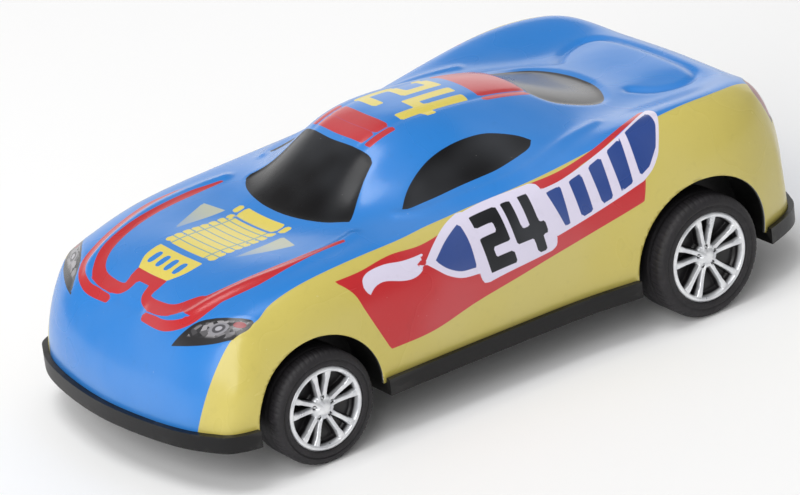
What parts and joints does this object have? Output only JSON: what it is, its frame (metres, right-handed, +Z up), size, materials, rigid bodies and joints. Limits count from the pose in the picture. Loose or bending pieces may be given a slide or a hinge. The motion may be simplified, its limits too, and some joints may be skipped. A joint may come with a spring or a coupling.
{
  "type": "pull back car",
  "caption": "Small pull-back toy car with a printed tin body, black plastic chassis, chromed double-spoke wheels and a coil-spring gear motor on the rear axle.",
  "frame": {"origin": "on the ground under the middle of the car's bounding box", "axes": "+X towards the nose, +Y towards the left side, +Z up"},
  "size_m": [0.1019, 0.053, 0.0331],
  "materials": {
    "tin_print": "gloss lithographed tin, bright blue and yellow",
    "black_plastic": "satin moulded",
    "case_plastic": "satin moulded",
    "gear_plastic": "moulded acetal",
    "steel": "drawn wire",
    "spring_steel": "blued strip",
    "screw_steel": "zinc plated",
    "chrome_plastic": "vacuum plated plastic",
    "tyre_rubber": "moulded soft rubber"
  },
  "bodies": {
    "car": {"body_shell": "tin_print", "chassis": "black_plastic", "front_axle_cap": "black_plastic", "cap_screws": "screw_steel", "motor_case_left": "case_plastic", "motor_case_right": "case_plastic", "case_screws": "screw_steel", "motor_screws": "screw_steel", "clutch_gear_shaft": "steel", "transfer_gear_shaft": "steel", "spring_arbor": "steel"},
    "front_wheels": {"front_axle": "steel", "front_left_rim": "chrome_plastic", "front_left_tyre": "tyre_rubber", "front_right_rim": "chrome_plastic", "front_right_tyre": "tyre_rubber"},
    "rear_wheels": {"rear_axle": "steel", "axle_pinion": "gear_plastic", "rear_left_rim": "chrome_plastic", "rear_left_tyre": "tyre_rubber", "rear_right_rim": "chrome_plastic", "rear_right_tyre": "tyre_rubber"},
    "clutch_gear": {"clutch_gear": "gear_plastic"},
    "transfer_gear": {"transfer_gear": "gear_plastic"},
    "spring_drum": {"spring_drum": "gear_plastic", "drum_cover": "gear_plastic", "mainspring": "spring_steel"}
  },
  "joints": [
    {"name": "rear_axle_spin", "type": "hinge", "parent": "car", "child": "rear_wheels", "pos_m": [-0.028, 0, 0.00836], "axis": [0, 1, 0], "continuous": true},
    {"name": "front_axle_spin", "type": "hinge", "parent": "car", "child": "front_wheels", "pos_m": [0.032, 0, 0.00754], "axis": [0, 1, 0], "continuous": true},
    {"name": "clutch_gear_spin", "type": "hinge", "parent": "car", "child": "clutch_gear", "pos_m": [-0.01998, 0, 0.01245], "axis": [0, 1, 0], "continuous": true},
    {"name": "transfer_gear_spin", "type": "hinge", "parent": "car", "child": "transfer_gear", "pos_m": [-0.01098, 0, 0.01245], "axis": [0, 1, 0], "continuous": true},
    {"name": "spring_drum_spin", "type": "hinge", "parent": "car", "child": "spring_drum", "pos_m": [-0.00036, 0, 0.01529], "axis": [0, 1, 0], "continuous": true}
  ],
  "couplings": [
    {"joint": "clutch_gear_spin", "follows": "rear_axle_spin", "ratio": -0.38462},
    {"joint": "transfer_gear_spin", "follows": "rear_axle_spin", "ratio": 0.14793},
    {"joint": "spring_drum_spin", "follows": "rear_axle_spin", "ratio": -0.043509}
  ]
}
